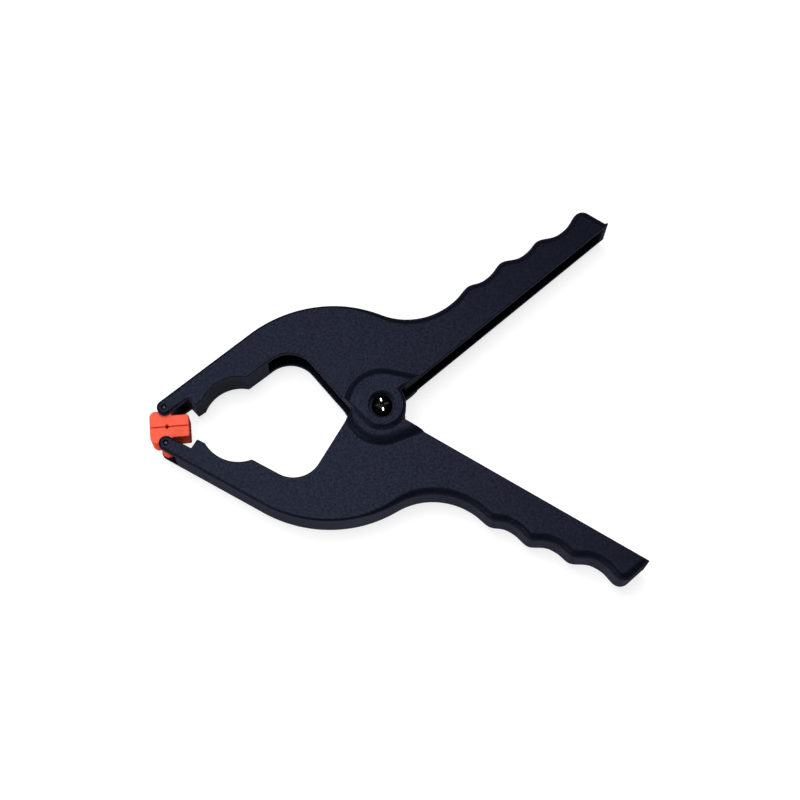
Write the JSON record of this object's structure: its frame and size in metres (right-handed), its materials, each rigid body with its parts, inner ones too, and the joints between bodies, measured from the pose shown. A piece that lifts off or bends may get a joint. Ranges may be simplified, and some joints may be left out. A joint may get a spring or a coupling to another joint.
{
  "type": "spring clamp",
  "caption": "Plastic hand spring clamp: two channel-section halves crossing at a screw pivot, torsion spring, toothed jaws with swivelling soft pads and finger-grooved handles.",
  "frame": {"origin": "centre of the footprint, on the plane of the raised back ear that the clamp lies on", "axes": "+X from the pads towards the handle ends, +Y from the lower half to the upper half, +Z along the pivot screw towards its head"},
  "size_m": [0.2306, 0.185, 0.0356],
  "materials": {
    "nylon": "fine textured moulded nylon, blue-black",
    "pad_rubber": "smooth moulded soft plastic, orange",
    "blackened_steel": "black oxide",
    "zinc_steel": "bright zinc plate",
    "pin_steel": "plain drawn steel",
    "spring_steel": "oil-tempered spring wire"
  },
  "bodies": {
    "lower_half": {"lower_half": "nylon", "torsion_spring": "spring_steel", "pivot_screw": "blackened_steel", "pivot_washer": "blackened_steel", "pivot_nut": "zinc_steel", "lower_pad_pin": "pin_steel"},
    "upper_half": {"upper_half": "nylon", "upper_pad_pin": "pin_steel"},
    "lower_pad": {"lower_pad": "pad_rubber"},
    "upper_pad": {"upper_pad": "pad_rubber"}
  },
  "joints": [
    {"name": "jaw_open", "type": "hinge", "parent": "lower_half", "child": "upper_half", "pos_m": [-0.00366, 0, 0.0178], "axis": [0, 0, -1], "range_deg": [0, 60], "stiffness_Nm_per_rad": 3, "springref_deg": -85.94, "deforming": ["torsion_spring"]},
    {"name": "upper_pad_swivel", "type": "hinge", "parent": "upper_half", "child": "upper_pad", "pos_m": [-0.10736, 0.0088, 0.0178], "axis": [0, 0, 1], "range_deg": [0, 30]},
    {"name": "lower_pad_swivel", "type": "hinge", "parent": "lower_half", "child": "lower_pad", "pos_m": [-0.10736, -0.0088, 0.0178], "axis": [0, 0, -1], "range_deg": [0, 30]}
  ],
  "couplings": [
    {"joint": "upper_pad_swivel", "follows": "jaw_open", "ratio": 0.5},
    {"joint": "lower_pad_swivel", "follows": "jaw_open", "ratio": 0.5}
  ]
}
